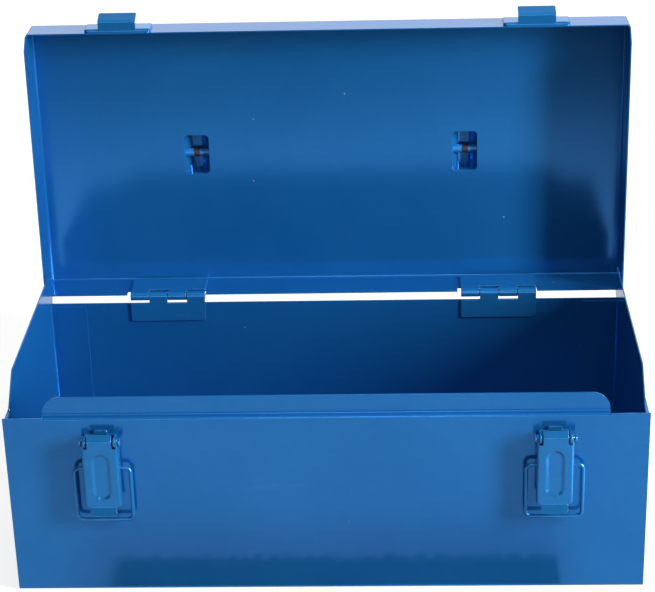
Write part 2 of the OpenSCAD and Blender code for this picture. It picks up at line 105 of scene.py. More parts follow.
@dataclass
class NodeSheet:
    """A node tree that is written from left to right, one call for each node.

    Attributes:
        tree: The tree.
        column: Column of the next node.
        column_width: Width of a column in the node editor.
    """

    tree: bpy.types.NodeTree
    column: int = 0
    column_width: int = 190

    @classmethod
    def blank(cls, owner: bpy.types.Material | bpy.types.World) -> "NodeSheet":
        """Empties the node tree of a material or world, and starts a sheet on it.

        Args:
            owner: The material or world.

        Returns:
            The new sheet.
        """
        owner.use_nodes = True
        owner.node_tree.nodes.clear()
        return cls(owner.node_tree)

    def add(self, kind: str, **settings: Any) -> bpy.types.Node:
        """Adds one node and sets its attributes.

        Args:
            kind: Blender's node type, without the ShaderNode prefix.
            settings: Attributes of the node.

        Returns:
            The new node.
        """
        node = self.tree.nodes.new(kind if kind.startswith("NodeGroup") else f"ShaderNode{kind}")
        for name, value in settings.items():
            setattr(node, name, value)
        node.location = (self.column * self.column_width, 0)
        self.column += 1
        return node

    def wire(self, source: Number | tuple[float, ...], target: Socket) -> None:
        """Links a socket to the target, or sets a plain value on the target.

        Args:
            source: The socket or value.
            target: Socket that takes it.
        """
        if isinstance(source, Socket):
            self.tree.links.new(source, target)
        else:
            target.default_value = source

    def math(self, operation: str, first: Number, second: Number = 0.0) -> Socket:
        """Adds a Math node.

        Args:
            operation: One of the Math node's operations.
            first: First number or socket.
            second: Second number or socket.

        Returns:
            The node's value socket.
        """
        node = self.add("Math", operation=operation)
        self.wire(first, node.inputs[0])
        self.wire(second, node.inputs[1])
        return node.outputs[0]

    def product(self, first: Number, *others: Number) -> Number:
        """Multiplies numbers or sockets, from left to right.

        Args:
            first: First number or socket.
            others: The others, each with a Math node of its own.

        Returns:
            The last product's socket.
        """
        for other in others:
            first = self.math("MULTIPLY", first, other)
        return first

    def place(self) -> Socket:
        """Adds the object's own coordinates, in metres, and returns their socket."""
        return self.add("TexCoord").outputs["Object"]

    def axes(self, place: Socket) -> tuple[Socket, Socket, Socket]:
        """Splits coordinates.

        Args:
            place: Socket with the coordinates.

        Returns:
            The sockets of x, y and z.
        """
        split = self.add("SeparateXYZ")
        self.wire(place, split.inputs["Vector"])
        return split.outputs["X"], split.outputs["Y"], split.outputs["Z"]

    def ramp(self, value: Number, low: Number, high: Number, start: Number = 0.0,
             end: Number = 1.0) -> Socket:
        """Maps value smoothly from the span low to high onto the span start to end.

        Args:
            value: Number or socket to map.
            low: Value that gives start.
            high: Value that gives end.
            start: Result at low and below.
            end: Result at high and above.

        Returns:
            The mapped value's socket.
        """
        node = self.add("MapRange", interpolation_type="SMOOTHSTEP")
        for name, source in (("Value", value), ("From Min", low), ("From Max", high), ("To Min", start),
                             ("To Max", end)):
            self.wire(source, node.inputs[name])
        return node.outputs["Result"]

    def noise(self, place: Socket, scale: Number, detail: float = 2.0, roughness: float = 0.5) -> Socket:
        """Adds a noise texture.

        Args:
            place: Socket with the texture's coordinates, in metres.
            scale: Features for each metre.
            detail: Octaves above the first.
            roughness: Share that each octave keeps.

        Returns:
            The texture's value socket, from 0 to 1.
        """
        node = self.add("TexNoise")
        self.wire(place, node.inputs["Vector"])
        self.wire(scale, node.inputs["Scale"])
        node.inputs["Detail"].default_value = detail
        node.inputs["Roughness"].default_value = roughness
        return node.outputs["Fac"]

    def mix(self, factor: Number, first: Number, second: Number) -> Socket:
        """Mixes two numbers.

        Args:
            factor: Share of the second number.
            first: First number or socket.
            second: Second number or socket.

        Returns:
            The mixed number's socket.
        """
        node = self.add("Mix", data_type="FLOAT")
        for source, name in ((factor, "Factor"), (first, "A"), (second, "B")):
            self.wire(source, node.inputs[name])
        return node.outputs["Result"]

    def blend(self, factor: Number, first: Tint, second: Tint) -> Socket:
        """Mixes two colours.

        Args:
            factor: Share of the second colour.
            first: First colour or socket.
            second: Second colour or socket.

        Returns:
            The mixed colour's socket.
        """
        node = self.add("Mix", data_type="RGBA")
        self.wire(factor, node.inputs["Factor"])
        for source, socket in ((first, node.inputs["A"]), (second, node.inputs["B"])):
            self.wire(source if isinstance(source, Socket) else (*source, 1.0), socket)
        return node.outputs["Result"]


def new_group(name: str, inputs: dict[str, float],
              outputs: dict[str, str]) -> tuple[NodeSheet, bpy.types.Node, bpy.types.Node]:
    """Starts a shader node group.

    Args:
        name: Name of the group.
        inputs: Names and default values of its number inputs.
        outputs: Names and socket types of its outputs.

    Returns:
        The group's sheet, its input node and its output node.
    """
    tree = bpy.data.node_groups.new(name, "ShaderNodeTree")
    for socket, value in inputs.items():
        made = tree.interface.new_socket(name=socket, in_out="INPUT", socket_type="NodeSocketFloat")
        made.default_value = value
    for socket, kind in outputs.items():
        tree.interface.new_socket(name=socket, in_out="OUTPUT", socket_type=kind)
    sheet = NodeSheet(tree)
    return sheet, sheet.add("NodeGroupInput"), sheet.add("NodeGroupOutput")


# --------------------------------------------------------------------------------------------------
# Effects that several finishes share
# --------------------------------------------------------------------------------------------------


class EnamelEffects:
    """Shader node groups for what sprayed enamel on sheet steel shows, built once and shared."""

    def __init__(self) -> None:
        """Builds every group."""
        self.peel = self.build_peel()
        self.flow = self.build_flow()
        self.specks = self.build_specks()
        self.rubs = self.build_rubs()
        self.arris = self.build_arris()
        self.bearing = self.build_bearing()

    def build_peel(self) -> bpy.types.NodeTree:
        """Orange peel of the sprayed film over the slow waves of the sheet below it.

        Returns:
            A group that puts out a height from the two wave sizes and depths.
        """
        sheet, start, end = new_group(
            "orange_peel",
            {"Cells per Metre": 420.0, "Peel Depth": 1.0, "Sheet Waves per Metre": 9.0, "Wave Depth": 20.0},
            {"Height": "NodeSocketFloat"})
        place = sheet.place()
        cells = sheet.noise(place, start.outputs["Cells per Metre"], detail=1.5, roughness=0.45)
        waves = sheet.noise(place, start.outputs["Sheet Waves per Metre"], detail=1.0, roughness=0.4)
        fine = sheet.product(cells, start.outputs["Peel Depth"])
        slow = sheet.product(waves, start.outputs["Wave Depth"])
        sheet.wire(sheet.math("ADD", fine, slow), end.inputs["Height"])
        return sheet.tree

    def build_flow(self) -> bpy.types.NodeTree:
        """Tone of the film where it was sprayed thin or thick.

        Returns:
            A group that puts out a mask, 0 for a thin film and 1 for a thick one.
        """
        sheet, start, end = new_group(
            "film_thickness",
            {"Passes per Metre": 11.0, "Mottle per Metre": 160.0, "Mottle Share": 0.3},
            {"Thickness": "NodeSocketFloat"})
        place = sheet.place()
        passes = sheet.noise(place, start.outputs["Passes per Metre"])
        mottle = sheet.noise(place, start.outputs["Mottle per Metre"], roughness=0.6)
        thickness = sheet.mix(start.outputs["Mottle Share"], sheet.ramp(passes, low=0.3, high=0.7),
                              sheet.ramp(mottle, low=0.3, high=0.7))
        sheet.wire(thickness, end.inputs["Thickness"])
        return sheet.tree

    def build_specks(self) -> bpy.types.NodeTree:
        """Dust nibs caught in the wet film, and fine dust lying on it.

        Returns:
            A group that puts out the nibs' height and a mask of dust.
        """
        sheet, start, end = new_group(
            "nibs_and_dust",
            {"Nibs per Metre": 45.0, "Nib Radius": 0.045, "Nib Share": 0.25, "Dust": 0.2},
            {"Nibs": "NodeSocketFloat", "Dust": "NodeSocketFloat"})
        grains_per_metre, drifts_per_metre = 2400.0, 25.0
        place = sheet.place()
        cells = sheet.add("TexVoronoi", feature="F1")
        sheet.wire(place, cells.inputs["Vector"])
        sheet.wire(start.outputs["Nibs per Metre"], cells.inputs["Scale"])
        near = sheet.ramp(cells.outputs["Distance"], 0.0, start.outputs["Nib Radius"], start=1.0, end=0.0)
        pick = sheet.add("SeparateColor")
        sheet.wire(cells.outputs["Color"], pick.inputs["Color"])
        chosen = sheet.math("LESS_THAN", pick.outputs["Red"], start.outputs["Nib Share"])
        sheet.wire(sheet.product(near, chosen), end.inputs["Nibs"])
        grains = sheet.noise(place, grains_per_metre, detail=3.0, roughness=0.7)
        drifts = sheet.noise(place, drifts_per_metre, roughness=0.6)
        dust = sheet.product(sheet.ramp(grains, low=0.56, high=0.8), sheet.ramp(drifts, low=0.42, high=0.75),
                             start.outputs["Dust"])
        sheet.wire(dust, end.inputs["Dust"])
        return sheet.tree

    def build_rubs(self) -> bpy.types.NodeTree:
        """Rub marks: hair-fine scratches and hazy smudges from handling.

        Returns:
            A group that puts out a mask of scratches and one of haze.
        """
        sheet, start, end = new_group(
            "rub_marks",
            {"Scratch Share": 0.5, "Haze": 0.5},
            {"Scratches": "NodeSocketFloat", "Haze": "NodeSocketFloat"})
        smears_per_metre, stretch, hair_width, patch_share = 16.0, 24.0, 0.006, 0.35
        # Each run of hairs: its turn in radians, and hairs for each metre
        runs = ((0.5, 26.0), (1.9, 34.0), (2.7, 21.0))
        # How much of the turn goes round each axis
        lean = (1.0, 0.7, 1.3)
        place = sheet.place()
        total: Number = 0.0
        for turn, per_metre in runs:
            mapping = sheet.add("Mapping")
            sheet.wire(place, mapping.inputs["Vector"])
            mapping.inputs["Rotation"].default_value = [share * turn for share in lean]
            mapping.inputs["Scale"].default_value = (1.0, stretch, stretch)
            line = sheet.noise(mapping.outputs["Vector"], per_metre, detail=0.0)
            off_line = sheet.math("ABSOLUTE", sheet.math("SUBTRACT", line, NOISE_MIDDLE))
            hair = sheet.ramp(off_line, 0.0, hair_width, start=1.0, end=0.0)
            patches = sheet.noise(mapping.outputs["Vector"], patch_share * per_metre, detail=0.0)
            mark = sheet.product(hair, sheet.ramp(patches, low=0.58, high=0.66))
            total = sheet.math("MAXIMUM", total, mark)
        sheet.wire(sheet.product(total, start.outputs["Scratch Share"]), end.inputs["Scratches"])
        smears = sheet.noise(place, smears_per_metre, detail=3.0, roughness=0.6)
        haze = sheet.product(sheet.ramp(smears, low=0.45, high=0.75), start.outputs["Haze"])
        sheet.wire(haze, end.inputs["Haze"])
        return sheet.tree

    def build_arris(self) -> bpy.types.NodeTree:
        """Cut edges of the sheet: the film rounds over them, is thin there, and is lit up by a painted
        highlight.

        Returns:
            A group that puts out the rounded normal and a mask of the thin film with its painted highlight.
        """
        sheet, start, end = new_group(
            "rounded_arris",
            {"Radius": 0.35 * MM, "Rub and Highlight": 0.5},
            {"Normal": "NodeSocketVector", "Thin": "NodeSocketFloat"})
        bevel = sheet.add("Bevel", samples=4)
        sheet.wire(start.outputs["Radius"], bevel.inputs["Radius"])
        facing = sheet.add("NewGeometry").outputs["Normal"]
        dot = sheet.add("VectorMath", operation="DOT_PRODUCT")
        sheet.wire(bevel.outputs["Normal"], dot.inputs[0])
        sheet.wire(facing, dot.inputs[1])
        edge = sheet.ramp(dot.outputs["Value"], low=0.97, high=0.8)
        chips_per_metre = 300.0
        chips = sheet.noise(sheet.place(), chips_per_metre, detail=3.0, roughness=0.6)
        thin = sheet.product(edge, sheet.ramp(chips, low=0.35, high=0.65), start.outputs["Rub and Highlight"])
        sheet.wire(bevel.outputs["Normal"], end.inputs["Normal"])
        sheet.wire(thin, end.inputs["Thin"])
        return sheet.tree

    def build_bearing(self) -> bpy.types.NodeTree:
        """Bands worn round a bar or pin where it turns, the same on both ends of the box.

        Returns:
            A group that puts out a mask of the worn band.
        """
        sheet, start, end = new_group(
            "bearing_wear",
            {"Centre": 0.1, "Half Width": 2.0 * MM, "Wear": 0.0},
            {"Worn": "NodeSocketFloat"})
        ragged_per_metre, ragged, soft = 420.0, 2.4 * MM, 0.3 * MM
        place = sheet.place()
        across, _, _ = sheet.axes(place)
        out = sheet.math("SUBTRACT", sheet.math("ABSOLUTE", across), start.outputs["Centre"])
        wander = sheet.noise(place, ragged_per_metre, detail=3.0, roughness=0.6)
        wander = sheet.math("SUBTRACT", wander, NOISE_MIDDLE)
        past = sheet.math("ADD", sheet.math("ABSOLUTE", out), sheet.product(wander, ragged))
        past = sheet.math("SUBTRACT", past, start.outputs["Half Width"])
        band = sheet.ramp(past, -soft, soft, start=1.0, end=0.0)
        sheet.wire(sheet.product(band, start.outputs["Wear"]), end.inputs["Worn"])
        return sheet.tree


# --------------------------------------------------------------------------------------------------
# Finishes
# --------------------------------------------------------------------------------------------------


@dataclass(frozen=True)
class Enamel:
    """Glossy metallic-blue enamel sprayed on sheet steel.

    Attributes:
        name: Name of the material.
        thick: Colour of the full film.
        thin: Colour where the film is thin.
        flake: Share of the light that the film sends back as a tinted mirror.
        gloss: Roughness of the clean film.
        haze_gloss: Roughness where hands have dulled it.
        peel: Depth of the orange peel, in metres.
        waves: Depth of the sheet's slow waves, as a multiple of the peel.
        wave_count: Slow waves for each metre.
        cells: Cells of orange peel for each metre.
        nib_share: Share of the Voronoi cells that hold a dust nib.
        nib_height: Height of a nib, as a multiple of the peel.
        nib_tint: How much of the dust's colour a nib's top takes.
        dust: Strength of the dust.
        scratches: Strength of the scratches.
        scratch_depth: Depth of a scratch, as a multiple of the peel.
        scratch_tint: How much of the rubbed film's colour a scratch takes.
        scratch_rough: Roughness that a scratch adds.
        haze: Strength of the haze.
        edge_radius: Radius to which the film rounds a cut edge, in metres.
        edge_thin_and_highlight: How much lighter the film is along cut edges: thin film and painted
            highlight.
        dust_colour: Colour of the dust and of the nibs' tops.
        edge_colour: Colour of the film where it is rubbed thin, and of the painted highlight along cut
            edges.
        worn: How far the film is worn off in its bearings.
        worn_at: Distance of the worn bands from the box's middle, in metres.
        worn_half: Half the width of a worn band, in metres.
        worn_dark: Colour of the grime in a worn band.
        worn_rust: Colour of the bare, tarnished steel in a worn band.
        worn_rough: Roughness that a worn band adds.
        worn_grain: Patches of grime and rust for each metre.
        refraction: Refractive index of the film.
    """

    name: str
    thick: Colour = (0.0065, 0.124, 0.385)
    thin: Colour = (0.010, 0.142, 0.415)
    flake: float = 0.58
    gloss: float = 0.15
    haze_gloss: float = 0.21
    peel: float = 0.006 * MM
    waves: float = 14.0
    wave_count: float = 9.0
    cells: float = 420.0
    nib_share: float = 0.8
    nib_height: float = 30.0
    nib_tint: float = 0.6
    dust: float = 0.12
    scratches: float = 0.35
    scratch_depth: float = 0.35
    scratch_tint: float = 0.5
    scratch_rough: float = 0.12
    haze: float = 0.6
    edge_radius: float = 0.4 * MM
    edge_thin_and_highlight: float = 0.45
    dust_colour: Colour = (0.34, 0.38, 0.44)
    edge_colour: Colour = (0.090, 0.290, 0.570)
    worn: float = 0.0
    worn_at: float = 0.1
    worn_half: float = 2.0 * MM
    worn_dark: Colour = (0.008, 0.008, 0.009)
    worn_rust: Colour = (0.030, 0.019, 0.015)
    worn_rough: float = 0.28
    worn_grain: float = 650.0
    refraction: float = 1.5

    def build(self, effects: EnamelEffects) -> bpy.types.Material:
        """Builds the material.

        Args:
            effects: The shared node groups.

        Returns:
            The finished material.
        """
        material = bpy.data.materials.new(self.name)
        sheet = NodeSheet.blank(material)
        flow = self.place_group(sheet, effects.flow, {})
        specks = self.place_group(sheet, effects.specks, {"Nib Share": self.nib_share, "Dust": self.dust})
        rubs = self.place_group(sheet, effects.rubs, {"Scratch Share": self.scratches, "Haze": self.haze})
        arris = self.place_group(sheet, effects.arris, {"Radius": self.edge_radius, "Rub and Highlight": self.edge_thin_and_highlight})
        peel = self.place_group(sheet, effects.peel, {
            "Cells per Metre": self.cells, "Sheet Waves per Metre": self.wave_count,
            "Wave Depth": self.waves})
        bearing = self.place_group(sheet, effects.bearing, {
            "Centre": self.worn_at, "Half Width": self.worn_half, "Wear": self.worn})
        nibs, dust, scratches = specks.outputs["Nibs"], specks.outputs["Dust"], rubs.outputs["Scratches"]
        worn = bearing.outputs["Worn"]

        colour = sheet.blend(flow.outputs["Thickness"], self.thin, self.thick)
        # Lighter along cut edges: thin film, and a painted highlight.
        colour = sheet.blend(arris.outputs["Thin"], colour, self.edge_colour)
        colour = sheet.blend(dust, colour, self.dust_colour)
        colour = sheet.blend(sheet.product(nibs, self.nib_tint), colour, self.dust_colour)
        grime = sheet.noise(sheet.place(), self.worn_grain, detail=3.0, roughness=0.65)
        grime = sheet.ramp(grime, low=0.42, high=0.62)
        colour = sheet.blend(worn, colour, sheet.blend(grime, self.worn_dark, self.worn_rust))
        colour = sheet.blend(sheet.product(scratches, self.scratch_tint), colour, self.edge_colour)

        dull = sheet.math("MAXIMUM", rubs.outputs["Haze"], dust)
        rough = sheet.ramp(dull, 0.0, 1.0, self.gloss, self.haze_gloss)
        rough = sheet.math("ADD", rough, sheet.product(scratches, self.scratch_rough))
        rough = sheet.math("ADD", rough, sheet.product(worn, self.worn_rough))

        height = sheet.math("ADD", peel.outputs["Height"], sheet.product(nibs, self.nib_height))
        height = sheet.math("SUBTRACT", height, sheet.product(scratches, self.scratch_depth))
        bump = sheet.add("Bump")
        bump.inputs["Strength"].default_value = 1.0
        bump.inputs["Distance"].default_value = self.peel
        sheet.wire(height, bump.inputs["Height"])
        sheet.wire(arris.outputs["Normal"], bump.inputs["Normal"])

        metal = sheet.math("SUBTRACT", self.flake, sheet.product(dust, self.flake))
        shader = sheet.add("BsdfPrincipled")
        sheet.wire(colour, shader.inputs["Base Color"])
        sheet.wire(metal, shader.inputs["Metallic"])
        sheet.wire(rough, shader.inputs["Roughness"])
        sheet.wire(bump.outputs["Normal"], shader.inputs["Normal"])
        shader.inputs["IOR"].default_value = self.refraction
        sheet.wire(shader.outputs["BSDF"], sheet.add("OutputMaterial").inputs["Surface"])
        return material

    @staticmethod
    def place_group(sheet: NodeSheet, tree: bpy.types.NodeTree, values: dict[str, float]) -> bpy.types.Node:
        """Places a shared group in the material.

        Args:
            sheet: The material's sheet.
            tree: The group.
            values: Values of the group's inputs that differ from its own.

        Returns:
            The group's node.
        """
        node = sheet.add("Group", node_tree=tree)
        for name, value in values.items():
            node.inputs[name].default_value = value
        return node


SHEET_METAL = Enamel("blue_enamel")
HANDLE_BAR = replace(
    SHEET_METAL, name="handle_enamel", flake=0.2, gloss=0.28, haze_gloss=0.36, waves=0.0, worn=1.0,
    worn_at=98.3 * MM, worn_half=2.2 * MM)
# The fittings' light edge colour and strong edge lightening paint a highlight along their cut edges.
SMALL_PARTS = Enamel(
    "fitting_enamel", thick=(0.008, 0.145, 0.415), thin=(0.013, 0.170, 0.455), gloss=0.13, haze_gloss=0.20,
    cells=650.0, waves=0.0, edge_radius=0.5 * MM, edge_thin_and_highlight=0.85, edge_colour=(0.20, 0.43, 0.70))
RIVET_SHANK = replace(
    SMALL_PARTS, name="rivet_enamel", worn=0.9, worn_at=147.5 * MM, worn_half=10.9 * MM)
# Near-black rings in the hinges' joints: painted shade of the gaps between knuckles.
JOINT_SHADE_ENAMEL = replace(
    SMALL_PARTS, name="joint_enamel", thick=(0.001, 0.018, 0.070), thin=(0.002, 0.026, 0.095), edge_thin_and_highlight=0.0)


# --------------------------------------------------------------------------------------------------
# Parts of the box
# --------------------------------------------------------------------------------------------------


@dataclass
class DressedPart:
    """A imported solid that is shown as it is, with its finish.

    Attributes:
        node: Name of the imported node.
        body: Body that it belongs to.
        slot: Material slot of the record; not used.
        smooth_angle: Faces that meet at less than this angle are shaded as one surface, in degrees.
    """

    node: str
    body: Body
    slot: Slot = Slot.FITTING
    smooth_angle: float = 32.0

    def dress(self, finish: bpy.types.Material) -> None:
        """Gives the solid its finish and smooth shading.

        Args:
            finish: The material.
        """
        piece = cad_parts[self.node]
        piece.data.materials.clear()
        piece.data.materials.append(finish)
        piece.data.shade_smooth()
        piece.data.set_sharp_from_angle(angle=math.radians(self.smooth_angle))
        LOG.info("dressed %s (%d faces) on %s", self.node, len(piece.data.polygons), self.body.value)


@dataclass
class Case:
    """The folded shell and its two end panels."""

    parts: list[DressedPart] = field(default_factory=lambda: [
        DressedPart("body_shell", Body.CASE, Slot.ENAMEL),
        DressedPart("end_panel_left", Body.CASE, Slot.ENAMEL),
        DressedPart("end_panel_right", Body.CASE, Slot.ENAMEL)])

    def build(self, finish: bpy.types.Material) -> None:
        """Dresses the shell and the end panels."""
        for part in self.parts:
            part.dress(finish)


@dataclass
class Lid:
    """The tray lid and its folding handle."""

    lid: DressedPart = field(default_factory=lambda: DressedPart("lid", Body.LID, Slot.ENAMEL))
    handle: DressedPart = field(default_factory=lambda: DressedPart("handle", Body.HANDLE, Slot.ENAMEL))

    def build(self, finish: bpy.types.Material, handle_finish: bpy.types.Material) -> None:
        """Dresses the lid, and the handle in a finish that is worn where its feet turn."""
        self.lid.dress(finish)
        self.handle.dress(handle_finish)


@dataclass
class Hinge:
    """One butt hinge: two leaves and a pin, with dark rings of enamel in the joints: painted shade of the
    gaps.

    Attributes:
        side: End of the box.
        knuckles: Number of knuckles.
        gap: Width of the joint between two knuckles, in metres.
        inner: Inner radius of a ring of enamel, just clear of the pin.
        outer: Outer radius of the ring at its rims.
        dish: How far its middle lies below its rims.
        fill: Half the width of the ring, as a share of the joint's width.
        steps: Corners round the ring.
        smooth_angle: Faces that meet at less than this angle are shaded as one surface, in degrees.
    """

    side: Side
    knuckles: int = 4
    gap: float = 0.5 * MM
    inner: float = 2.02 * MM
    outer: float = 3.0 * MM
    dish: float = 0.22 * MM
    fill: float = 0.42
    steps: int = 40
    smooth_angle: float = 40.0

    def build(self, finish: bpy.types.Material, joint_shade_finish: bpy.types.Material) -> None:
        """Dresses the hinge and fills its joints.

        Args:
            finish: Finish of the leaves and the pin.
            joint_shade_finish: Finish of the rings in the joints, dark as painted shade of the gaps.
        """
        for name, body in (("body_leaf", Body.CASE), ("lid_leaf", Body.LID), ("pin", Body.CASE)):
            DressedPart(f"hinge_{self.side.word}_{name}", body).dress(finish)
        rings = self.fill_joints()
        # The rings' near-black finish is painted shade of the gaps.
        rings.data.materials.append(joint_shade_finish)
        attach(rings, Body.CASE.value)
        LOG.info("added %s (%d faces) on %s", rings.name, len(rings.data.polygons), Body.CASE.value)

    def fill_joints(self) -> bpy.types.Object:
        """Turns one ring of enamel for each joint round the pin's axis.

        Returns:
            The rings, as one piece.
        """
        low, high = (Vector(corner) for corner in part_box(f"hinge_{self.side.word}_pin"))
        leaf_low, leaf_high = (Vector(corner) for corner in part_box(f"hinge_{self.side.word}_body_leaf"))
        centre = (low + high) / 2
        length = leaf_high.x - leaf_low.x
        width = (length - (self.knuckles - 1) * self.gap) / self.knuckles
        reach = self.fill * self.gap
        profile = [(-reach, self.inner), (-reach, self.outer), (0.0, self.outer - self.dish),
                   (reach, self.outer), (reach, self.inner)]
        shape = bmesh.new()
        for joint in range(1, self.knuckles):
            place = Vector((leaf_low.x + joint * (width + self.gap) - self.gap / 2, centre.y, centre.z))
            turns = [math.tau * step / self.steps for step in range(self.steps)]
            rows = [[shape.verts.new(place + Vector((along, r * math.cos(turn), r * math.sin(turn))))
                     for along, r in profile] for turn in turns]
            for step, row in enumerate(rows):
                following = rows[(step + 1) % self.steps]
                for corner in range(len(profile)):
                    after = (corner + 1) % len(profile)
                    shape.faces.new((row[corner], row[after], following[after], following[corner]))
        bmesh.ops.recalc_face_normals(shape, faces=shape.faces)
        mesh = bpy.data.meshes.new(f"hinge_{self.side.word}_joint_enamel")
        shape.to_mesh(mesh)
        shape.free()
        rings = bpy.data.objects.new(mesh.name, mesh)
        bpy.context.scene.collection.objects.link(rings)
        mesh.shade_smooth()
        mesh.set_sharp_from_angle(angle=math.radians(self.smooth_angle))
        return rings


@dataclass
class Latch:
    """One toggle latch: base, rivet, lever and wire bail, with the catch on the lid."""

    side: Side

    def build(self, finish: bpy.types.Material, rivet_finish: bpy.types.Material) -> None:
        """Dresses the latch and its catch.

        Args:
            finish: Finish of the pressed pieces and the bail.
            rivet_finish: Finish of the rivet, worn where the lever turns.
        """
        lever = Body[f"LEVER_{self.side.name}"]
        bail = Body[f"BAIL_{self.side.name}"]
        for name, body in (("base", Body.CASE), ("lever", lever), ("bail", bail)):
            DressedPart(f"latch_{self.side.word}_{name}", body).dress(finish)
        DressedPart(f"latch_{self.side.word}_rivet", Body.CASE).dress(rivet_finish)
        DressedPart(f"catch_{self.side.word}", Body.LID).dress(finish)


# --------------------------------------------------------------------------------------------------
# Studio
# --------------------------------------------------------------------------------------------------


@dataclass(frozen=True)
class Softbox:
    """A soft area lamp that points at the box.

    Attributes:
        name: Name of the lamp.
        place: Where it hangs, in metres.
        size: Width and height of its face, in metres.
        watts: Power.
        colour: Colour of its light.
        aim: Point that it faces.
        mirrored: Whether glossy surfaces show it.
    """

    name: str
    place: Point
    size: Span
    watts: float
    colour: Colour = WHITE
    aim: Point = (0.0, 0.0, 0.12)
    mirrored: bool = True

    def hang(self) -> bpy.types.Object:
        """Adds the lamp to the scene.

        Returns:
            The lamp's object.
        """
        data = bpy.data.lights.new(self.name, "AREA")
        data.shape = "RECTANGLE"
        data.size, data.size_y = self.size
        data.energy = self.watts
        data.color = self.colour
        lamp = bpy.data.objects.new(self.name, data)
        lamp.location = self.place
        lamp.rotation_euler = (Vector(self.aim) - Vector(self.place)).to_track_quat("-Z", "Y").to_euler()
        lamp.visible_camera = False
        lamp.visible_glossy = self.mirrored
        bpy.context.scene.collection.objects.link(lamp)
        return lamp


def level_card(name: str, low: Span, high: Span, height: float) -> bpy.types.Object:
    """Makes a level rectangle that is part of the studio.

    Args:
        name: Name of the object.
        low: Lowest x and y.
        high: Highest x and y.
        height: Its z.

    Returns:
        The new object.
    """
    mesh = bpy.data.meshes.new(name)
    corners = [(low[0], low[1], height), (high[0], low[1], height), (high[0], high[1], height),
               (low[0], high[1], height)]
    mesh.from_pydata(corners, [], [(0, 1, 2, 3)])
    plane = bpy.data.objects.new(name, mesh)
    bpy.context.scene.collection.objects.link(plane)
    return plane


@dataclass(frozen=True)
class Floor:
    """The white floor, which keeps the box's shadow.

    Attributes:
        half: Half of its side, in metres.
        height: Its z, just below the box.
        tone: Colour of its matt surface.
        fill: White that it adds for the camera near the box, where it keeps its shadows.
        gleam: White that it adds in reflections.
        near_far: Distances from the box between which the added white rises to full white.
    """

    half: float = 6.0
    height: float = -0.2 * MM
    tone: float = 0.32
    fill: float = 0.75
    gleam: float = 0.35
    near_far: Span = (0.7, 2.2)

    def lay(self) -> None:
        """Lays the floor."""
        floor = level_card("floor", (-self.half, -self.half), (self.half, self.half), self.height)
        material = bpy.data.materials.new("white_floor")
        sheet = NodeSheet.blank(material)
        path = sheet.add("LightPath")
        base = sheet.add("BsdfDiffuse")
        base.inputs["Color"].default_value = (self.tone, self.tone, self.tone, 1.0)
        away = sheet.add("VectorMath", operation="LENGTH")
        sheet.wire(sheet.place(), away.inputs[0])
        white = sheet.ramp(away.outputs["Value"], *self.near_far, self.fill, 1.0)
        seen = sheet.product(path.outputs["Is Camera Ray"], white)
        mirrored = sheet.math("MAXIMUM", path.outputs["Is Glossy Ray"], path.outputs["Is Transmission Ray"])
        glow = sheet.add("Emission")
        sheet.wire(sheet.math("ADD", seen, sheet.product(mirrored, self.gleam)), glow.inputs["Strength"])
        both = sheet.add("AddShader")
        sheet.wire(base.outputs[0], both.inputs[0])
        sheet.wire(glow.outputs[0], both.inputs[1])
        sheet.wire(both.outputs[0], sheet.add("OutputMaterial").inputs["Surface"])
        floor.data.materials.append(material)


